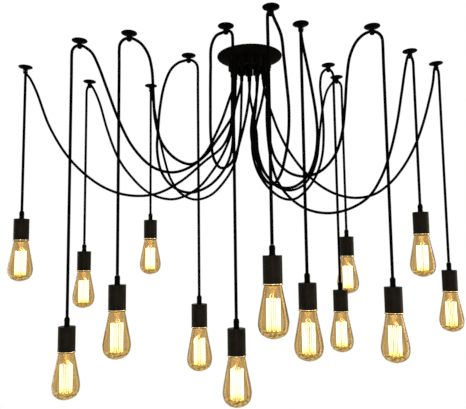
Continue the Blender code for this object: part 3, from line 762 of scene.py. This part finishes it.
def canopy_grip_mesh():
    """A canopy grip: a washer, a fluted collar, and a grooved tip that narrows to the cord."""
    flutes, flute_depth = 24, 0.00035
    washer, tip_z, end = 0.0018, -COLLAR_HEIGHT, -COLLAR_HEIGHT - GLAND_TIP_HEIGHT

    def fluted(angle, radius, height):
        inside = radius > COLLAR_R * 0.9 and -COLLAR_HEIGHT * 0.9 < height < -washer * 1.3
        return flute_depth * (math.cos(angle * flutes) - 1) / 2 if inside else 0

    collar = [
        (0, 0.0005, 0), (COLLAR_R, 0.0005, 0), (COLLAR_R, -washer, 0.0004),
        (COLLAR_R * 0.94, -washer, 0.0002), (COLLAR_R * 0.94, -washer * 1.5, 0),
        (COLLAR_R * 0.98, -washer * 2.0, 0.0002),
        (COLLAR_R * 0.98, -COLLAR_HEIGHT * 0.96, 0.0006), (COLLAR_R * 0.86, -COLLAR_HEIGHT * 0.99, 0.0008),
        (GLAND_TIP_R, tip_z, 0.0008),
    ]
    grooves, groove_depth = 6, 0.00055
    pitch = GLAND_TIP_HEIGHT * 0.82 / grooves
    for number in range(grooves):
        top = tip_z - 0.0012 - pitch * number
        wide = GLAND_TIP_R * (1 - 0.09 * number / grooves)
        narrow = wide - groove_depth
        collar += [(wide, top, 0.0003), (narrow, top - pitch * 0.25, 0.0003),
                   (narrow, top - pitch * 0.5, 0.0003), (wide, top - pitch * 0.75, 0.0003)]
    collar += [(GLAND_TIP_R * 0.86, end + 0.001, 0.0006), (GLAND_TIP_R * 0.72, end, 0.0004),
               (CORD_R * 1.08, end, 0.0002), (CORD_R * 1.08, end + 0.003, 0), (0, end + 0.003, 0)]
    return mesh_of("canopy_grip", [(lathe(rounded(collar, steps=3), 96, fluted), grip_black)], sharp_deg=50)


def make_canopy_grips():
    mesh = canopy_grip_mesh()
    for number in range(GLAND_COUNT):
        place = gland_place(number)
        piece(f"canopy_grip_{number + 1:02d}", mesh, "ceiling_fixture", "canopy",
              (place.x, place.y, -CANOPY_DEPTH), math.tau * number / GLAND_COUNT)


def make_cap_nut():
    """A domed nut: six flats that run into a dome."""
    top = -CANOPY_DEPTH - CLEARANCE
    flats_end, dome_r = top - NUT_HEIGHT * 0.5, NUT_R * 0.78

    def six(angle, radius, height):
        if height < flats_end - CLEARANCE / 10 or radius < NUT_R * 0.9:
            return 0
        sector = (angle % (math.tau / 6)) - math.tau / 12
        return radius * (math.cos(math.tau / 12) / math.cos(sector) - 1)

    corners = [(0, top, 0), (NUT_R * 0.8, top, 0), (NUT_R * 0.96, top, 0.0006),
               (NUT_R, top - 0.0008, 0.0005), (NUT_R, flats_end + 0.0006, 0.0004),
               (NUT_R * 0.93, flats_end, 0.0004)]
    steps = 10
    for step in range(steps + 1):
        angle = math.pi / 2 * step / steps
        corners.append((dome_r * math.cos(angle), flats_end - NUT_HEIGHT * 0.5 * math.sin(angle), 0))
    mesh = mesh_of("canopy_nut", [(lathe(rounded(corners, steps=3), 72, six), canopy_black)], sharp_deg=30)
    piece("canopy_nut", mesh, "ceiling_fixture", "cap_nut")


def hook_mesh():
    """Cup, dished cone, neck with a rounded end, and the cross hole that the cord lies in."""
    end, bore_half = -CUP_DEPTH - NECK_LENGTH, 0.02
    corners = [
        (0, 0, 0), (CUP_R, 0, 0.0004), (CUP_R, -CUP_RIM, 0.0006), (CUP_R * 0.72, -CUP_RIM - 0.0021, 0.003),
        (NECK_R, -CUP_DEPTH, 0.0012), (NECK_R * 0.98, -CUP_DEPTH - 0.004, 0), (NECK_R, end + 0.003, 0.0028),
        (NECK_R * 0.62, end, 0.0016), (0, end, 0),
    ]
    shape = lathe(rounded(corners, steps=6), sides=64)
    bore = lathe([(0, bore_half), (CROSS_HOLE_R, bore_half), (CROSS_HOLE_R, -bore_half), (0, -bore_half)],
                 sides=32)
    body = added("hook_shape", mesh_of("hook_shape", [(shape, hook_black)]))
    cutter = added("hook_bore", mesh_of("hook_bore", [(bore, hook_black)]))
    cutter.rotation_euler = (0, math.pi / 2, 0)
    cutter.location = (0, 0, -CROSS_HOLE_DEPTH)
    cut = body.modifiers.new("Bore", "BOOLEAN")
    cut.operation, cut.solver, cut.object = "DIFFERENCE", "EXACT", cutter
    bpy.context.view_layer.update()
    made = bpy.data.meshes.new_from_object(body.evaluated_get(bpy.context.evaluated_depsgraph_get()))
    made.name = "ceiling_hook"
    made.shade_smooth()
    made.set_sharp_from_angle(angle=math.radians(38))
    for item in (body, cutter):
        bpy.data.objects.remove(item, do_unlink=True)
    return made


# Lamps

def cover_mesh():
    """The holder's cover: a cylinder, a lip with a slot for the ring, and the socket's recess."""
    mouth_r, socket_r = COVER_R - COVER_WALL, BASE_R + SOCKET_GAP + 0.0009
    lip_r = COVER_R + LIP_STEP
    corners = [
        (0, COVER_TOP, 0), (GRIP_WAIST_R, COVER_TOP, 0), (COVER_R, COVER_TOP, 0.0011),
        (COVER_R, COVER_END + LIP_HEIGHT + 0.0004, 0.0003), (lip_r, COVER_END + LIP_HEIGHT, 0),
        (lip_r, RING_TOP, 0), (COVER_R - 0.0006, RING_TOP, 0), (COVER_R - 0.0006, RING_END, 0),
        (lip_r, RING_END, 0.0002), (lip_r, COVER_END, 0.0018), (mouth_r, COVER_END, 0.0004),
        (mouth_r, MOUTH_TOP, 0.0008), (socket_r, MOUTH_TOP, 0), (socket_r, SOCKET_TOP, 0),
        (0, SOCKET_TOP, 0),
    ]
    return mesh_of("holder_cover", [(lathe(rounded(corners), sides=96), holder_black)])


def ring_mesh():
    """The metal ring that shows in the lip of the mouth, made bright by a painted glow."""
    out_r, in_r = COVER_R + LIP_STEP * 0.8, COVER_R - 0.0005
    corners = [(in_r, RING_TOP, 0), (out_r, RING_TOP, 0.0004), (out_r, RING_END, 0.0004),
               (in_r, RING_END, 0), (in_r, RING_TOP, 0)]
    return mesh_of("holder_ring", [(lathe(rounded(corners), sides=96), ring_gold)], sharp_deg=60)


def grip_mesh():
    """The lamp's cord grip: tapered nose, ribbed barrel, a groove, and a straight foot."""
    ribs, rib_depth = 16, 0.0003
    barrel_top, barrel_end = -GRIP_TAPER, -GRIP_TAPER - GRIP_BARREL

    def ribbed(angle, radius, height):
        inside = radius > GRIP_R * 0.94 and barrel_end + 0.001 < height < barrel_top - 0.0005
        return rib_depth * (math.cos(angle * ribs) - 1) / 2 if inside else 0

    corners = [
        (0, -0.0015, 0), (CORD_R * 1.06, -0.0015, 0), (CORD_R * 1.06, 0, 0.0002),
        (GRIP_TOP_R * 0.92, 0, 0.0008), (GRIP_TOP_R * 1.12, -GRIP_TAPER * 0.45, 0.001),
        (GRIP_R * 0.97, barrel_top, 0.0008),
        (GRIP_R, barrel_top - 0.0009, 0.0004), (GRIP_R, -GRIP_TAPER - GRIP_BARREL * 0.5, 0),
        (GRIP_R, barrel_end + 0.0006, 0.0003), (GRIP_WAIST_R * 0.94, barrel_end + 0.0003, 0.0002),
        (GRIP_WAIST_R * 0.94, barrel_end - 0.0006, 0.0002), (GRIP_WAIST_R, barrel_end - 0.0010, 0.0004),
        (GRIP_WAIST_R, COVER_TOP + 0.0022, 0.0004), (GRIP_R * 1.1, COVER_TOP + 0.0014, 0.0005),
        (GRIP_R * 1.15, COVER_TOP, 0), (0, COVER_TOP, 0),
    ]
    return mesh_of("holder_grip", [(lathe(rounded(corners, steps=3), 96, ribbed), grip_black)], sharp_deg=50)


def thread(angle, height, depth):
    """How far a thread of one start dips there."""
    return -depth * (0.5 + 0.5 * math.cos(angle + math.tau * height / THREAD_PITCH))


def rings_between(radius, top, end, count):
    """A straight profile in so many even steps."""
    return [(radius, top + (end - top) * step / count) for step in range(count + 1)]


def socket_mesh():
    """The threaded brass shell that the bulb screws into."""
    inside, outside = BASE_R + SOCKET_GAP, BASE_R + SOCKET_GAP + 0.0008
    top, end = SOCKET_TOP - 0.002, MOUTH_TOP + 0.0002

    def shell(angle, radius, height):
        flat = height > top - 0.001 or height < end + 0.002
        return 0 if flat else -thread(angle, height, THREAD_DEPTH * 0.6)

    profile = rings_between(outside, top, end, 50) + rings_between(inside, end, top, 50)
    return mesh_of("socket_shell", [(lathe(profile + [profile[0]], 64, shell), brass)], sharp_deg=60)


def base_mesh():
    """The bulb's screw base: the threaded shell, the insulator's cone and the contact."""
    top, cone_end = SOCKET_TOP - CLEARANCE, SOCKET_TOP - CLEARANCE - CONE_HEIGHT
    end = MOUTH_TOP - CLEARANCE

    def shell(angle, radius, height):
        flat = height > cone_end - 0.002 or height < end + 0.003
        return 0 if flat else thread(angle, height, THREAD_DEPTH)

    outer = rounded([(BASE_R * 0.86, cone_end + 0.0006, 0), (BASE_R, cone_end, 0.0008),
                     (BASE_R, cone_end - 0.002, 0)])
    outer += rings_between(BASE_R, cone_end - 0.0024, end, 48)
    inner = [(BASE_R * 0.93, end), (BASE_R * 0.9, cone_end - 0.001), (BASE_R * 0.84, cone_end)]
    contact = rounded([(0, top, 0), (CONTACT_R * 0.7, top, 0.001), (CONTACT_R, top - 0.0012, 0.0004),
                       (CONTACT_R, top - 0.003, 0), (0, top - 0.003, 0)])
    cone = rounded([(CONTACT_R, top - 0.0011, 0), (BASE_R * 0.88, cone_end + 0.0004, 0.0004),
                    (BASE_R * 0.88, cone_end - 0.0006, 0), (CONTACT_R, cone_end - 0.0006, 0),
                    (CONTACT_R, top - 0.0011, 0)])
    return mesh_of("bulb_base", [(lathe(outer + inner + [outer[0]], 64, shell), brass),
                                 (lathe(contact, sides=32), brass), (lathe(cone, sides=48), insulator)],
                   sharp_deg=50)


def height_in_bulb(share):
    """The height at that share of the glass's visible height, downwards."""
    return COVER_END - BULB_BELOW_HOLDER * share


def flare_way(steps=8):
    """The glass's outer line, smooth through the flare, from the base to the bottom."""
    chosen = [Vector((BASE_R * 0.92, 0, MOUTH_TOP + 0.002)), Vector((BASE_R * 0.97, 0, MOUTH_TOP - 0.002))]
    chosen += [Vector((BULB_R * wide, 0, height_in_bulb(down))) for down, wide in FLARE_SHARES]
    bottom = above(height_in_bulb(1))
    mirrored = Vector((-chosen[-1].x, 0, chosen[-1].z))
    return smooth_way(chosen + [bottom, mirrored], steps)[:-steps]


def glass_mesh():
    """The glass, with its inside a shell's thickness further in, and both closed at the bottom."""
    outer = flare_way()
    inner = []
    for before, here, after in zip([outer[0]] + outer, outer, outer[1:] + [outer[-1]]):
        heading = (after - before).normalized()
        inward = Vector((heading.z, 0, -heading.x))
        inner.append(here + inward * GLASS_SHELL)
    inner[-1] = outer[-1] + above(GLASS_SHELL)
    inner = [Vector((max(point.x, 0), 0, point.z)) for point in inner]
    profile = [(point.x, point.z) for point in outer] + [(point.x, point.z) for point in reversed(inner)]
    profile[len(outer) - 1] = (0, outer[-1].z)
    profile[len(outer)] = (0, inner[-1].z)
    return mesh_of("bulb_glass", [(lathe(profile + [profile[0]], sides=72), bulb_glass)], sharp_deg=80)


def cage_way():
    """The filament's one line: down and up round the cage, with a small turn at each end."""
    top, end = height_in_bulb(CAGE_TOP_SHARE), height_in_bulb(CAGE_END_SHARE)
    gap = math.tau / CAGE_STRANDS
    turn_r = CAGE_R * math.sin(gap / 2)
    turn_steps, run_steps = 6, 5
    way = []
    for strand in range(CAGE_STRANDS):
        angle = gap * strand
        falling = strand % 2 == 0
        high, low = top - turn_r, end + turn_r
        heights = [high + (low - high) * step / run_steps for step in range(run_steps + 1)]
        for height in heights if falling else reversed(heights):
            way.append(round_about(CAGE_R, angle, height))
        if strand == CAGE_STRANDS - 1:
            break
        for step in range(1, turn_steps):
            half = math.pi * step / turn_steps
            at = angle + gap * (1 - math.cos(half)) / 2
            out = turn_r * math.sin(half)
            height = low - out if falling else high + out
            way.append(round_about(CAGE_R, at, height))
    neck_top = COVER_END - 0.017
    first = [Vector((0.003, 0.001, neck_top)), Vector((0.006, 0.001, neck_top - 0.004))]
    last = [Vector((0.0, -0.006, neck_top - 0.004)), Vector((0.0, -0.003, neck_top))]
    return first + way + last


def filament_mesh():
    shape, _ = tube(smooth_way(cage_way(), steps=2), FILAMENT_R, sides=6)
    return mesh_of("bulb_filament", [(shape, filament)], sharp_deg=80)


def support_wires(height, lift, count, first):
    """Bowed wires from the rod out to the cage's turns, the first at its share of the strands' gap."""
    gap = math.tau / CAGE_STRANDS
    shapes = []
    for number in range(count):
        out = round_about(1, gap * (2 * number + first))
        centre = above(height - lift * 0.4)
        way = [centre + out * STEM_ROD_R * 0.6, centre + out * CAGE_R * 0.4 + above(-lift * 0.15),
               centre + out * CAGE_R * 0.8, above(height) + out * CAGE_R * 1.04]
        shape, _ = tube(smooth_way(way, steps=3), SUPPORT_WIRE_R, sides=5)
        shapes.append((shape, bright_wire))
    return shapes


def stem_mesh():
    """The stem: a disc in the neck and the flared glass tube, both with a painted glow, the centre rod and
    the support wires.
    """
    disc_z = COVER_END - 0.0012
    disc = rounded([(0, disc_z, 0), (0.0085, disc_z, 0.0004), (0.0090, disc_z - 0.0012, 0.0004),
                    (0.0082, disc_z - 0.0022, 0.0006), (0.006, disc_z - 0.0034, 0.002),
                    (0, disc_z - 0.0034, 0)])
    top, press = disc_z - 0.0030, COVER_END - 0.016
    cage_top, cage_end = height_in_bulb(CAGE_TOP_SHARE), height_in_bulb(CAGE_END_SHARE)
    end = cage_end - 0.002
    stem = rounded([(0, top, 0), (0.0078, top, 0.001), (0.0050, top - 0.005, 0.003), (0.0038, press, 0.001),
                    (STEM_ROD_R * 1.4, press - 0.004, 0.001), (STEM_ROD_R, press - 0.007, 0.001),
                    (STEM_ROD_R, end + 0.004, 0.001), (STEM_ROD_R * 1.8, end + 0.0015, 0.001),
                    (STEM_ROD_R * 1.3, end, 0.001), (0, end, 0)], steps=5)
    shapes = [(lathe(disc, sides=64), ring_gold), (lathe(stem, sides=32), stem_glass)]
    shapes += support_wires(cage_top, -0.003, CAGE_STRANDS // 2 - 1, 1.5)
    shapes += support_wires(cage_end, 0.003, CAGE_STRANDS // 2, 0.5)
    return mesh_of("bulb_stem", shapes, sharp_deg=60)


def make_lamps():
    """Each hook, and each lamp's holder and bulb. All lamps share their meshes."""
    hook = hook_mesh()
    parts = (
        # part, mesh, body, slot, solid, 1 where it turns from bulb to bulb
        ("holder_cover", cover_mesh(), "lamp", "holder_black", "lamp_holder", 0),
        ("holder_grip", grip_mesh(), "lamp", "holder_black", "lamp_holder", 0),
        ("holder_socket", socket_mesh(), "lamp", None, "lamp_holder", 0),
        ("holder_ring", ring_mesh(), "lamp", None, "lamp_holder", 0),
        ("bulb_glass", glass_mesh(), "lamp_bulb", "amber_glass", "bulb", 0),
        ("bulb_base", base_mesh(), "lamp_bulb", None, "bulb", 1),
        ("bulb_stem", stem_mesh(), "lamp_bulb", None, "bulb", 1),
        ("bulb_filament", filament_mesh(), "lamp_bulb", None, "bulb", 1),
    )
    for number, shares in enumerate(HOOK_SHARES):
        label = f"{number + 1:02d}"
        top, turn = lamp_top(shares), math.radians(BULB_TURN_DEG * number)
        piece(f"hook_{label}", hook, "ceiling_fixture", f"ceiling_hook_{label}",
              hook_place(shares), math.radians(shares[AT_SIDE]))
        for part, mesh, body, slot, solid, turns in parts:
            item = piece(f"{part}_{label}", mesh, f"{body}_{label}", f"{solid}_{label}",
                         top, turn * turns)
            if part == "bulb_filament":
                item.visible_diffuse = item.visible_shadow = False


def repaint(node, finish):
    """A solid whose shape is right keeps it and gets its own finish."""
    item = next(thing for thing in bpy.context.scene.objects if thing.get("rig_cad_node") == node)
    for place in item.material_slots:
        place.material = finish


# Surroundings

def seen_as_white(tree):
    """1 for what the camera sees, directly, mirrored or through glass."""
    path, first, second = new_node(tree, "LightPath"), new_node(tree, "Math"), new_node(tree, "Math")
    first.operation = second.operation = "MAXIMUM"
    joined(tree, (path.outputs["Is Camera Ray"], first.inputs[0]),
           (path.outputs["Is Glossy Ray"], first.inputs[1]), (first.outputs["Value"], second.inputs[0]),
           (path.outputs["Is Transmission Ray"], second.inputs[1]))
    return second.outputs["Value"]


def make_world():
    """A grey-white light from all sides, seen as white."""
    world = bpy.data.worlds.new("studio")
    bpy.context.scene.world = world
    world.use_nodes = True
    tree = world.node_tree
    tree.nodes.clear()
    light = new_node(tree, "Background", {"Color": (0.96, 0.97, 1.0, 1.0), "Strength": 0.48})
    shown = new_node(tree, "Background", {"Color": (1.0, 1.0, 1.0, 1.0), "Strength": 1.0})
    mix, out = new_node(tree, "MixShader"), new_node(tree, "OutputWorld")
    joined(tree, (seen_as_white(tree), mix.inputs["Fac"]),
           (light.outputs["Background"], mix.inputs[1]), (shown.outputs["Background"], mix.inputs[2]),
           (mix.outputs["Shader"], out.inputs["Surface"]))


def make_floor():
    """A pale floor far below, which the camera sees nearly white."""
    mesh = bpy.data.meshes.new("floor")
    corners = [(x * FLOOR_HALF, y * FLOOR_HALF, FLOOR_Z) for x, y in ((-1, -1), (1, -1), (1, 1), (-1, 1))]
    mesh.from_pydata(corners, [], [(0, 1, 2, 3)])
    finish, tree, shader = new_material("pale_floor")
    colour = ramp(tree, noise(tree, 1.4, detail=4), ((0.3, (0.80, 0.80, 0.79)), (0.7, (0.84, 0.84, 0.83))))
    joined(tree, (colour, shader.inputs["Base Color"]))
    set_inputs(shader, {"Roughness": 0.8, "Specular IOR Level": 0.1})
    white, mix, share = new_node(tree, "Emission"), new_node(tree, "MixShader"), new_node(tree, "Math")
    share.operation = "MULTIPLY"
    share.inputs[1].default_value = 0.75
    out = tree.nodes["Material Output"]
    joined(tree, (seen_as_white(tree), share.inputs[0]), (share.outputs["Value"], mix.inputs["Fac"]),
           (shader.outputs["BSDF"], mix.inputs[1]), (white.outputs["Emission"], mix.inputs[2]),
           (mix.outputs["Shader"], out.inputs["Surface"]))
    mesh.materials.append(finish)
    floor = added("floor", mesh)


def make_light(name, place, aim, size, power, colour):
    """A plain rectangular light that isn't seen itself."""
    data = bpy.data.lights.new(name, "AREA")
    data.shape = "RECTANGLE"
    data.size, data.size_y = size
    data.energy = power
    data.color = colour
    item = added(name, data)
    item.location = place
    item.rotation_euler = (Vector(aim) - Vector(place)).to_track_quat("-Z", "Y").to_euler()
    item.visible_camera = False
    item.visible_transmission = False


make_camera()
for cord_number in range(len(HOOK_SHARES)):
    make_cord(cord_number)
make_canopy_dish()
make_canopy_grips()
make_cap_nut()
make_lamps()
repaint("mounting_bracket", zinc)
repaint("terminal_block", block_white)
make_world()
make_floor()
for light_settings in LIGHTS:
    make_light(*light_settings)

bpy.context.scene.view_settings.view_transform = "Standard"
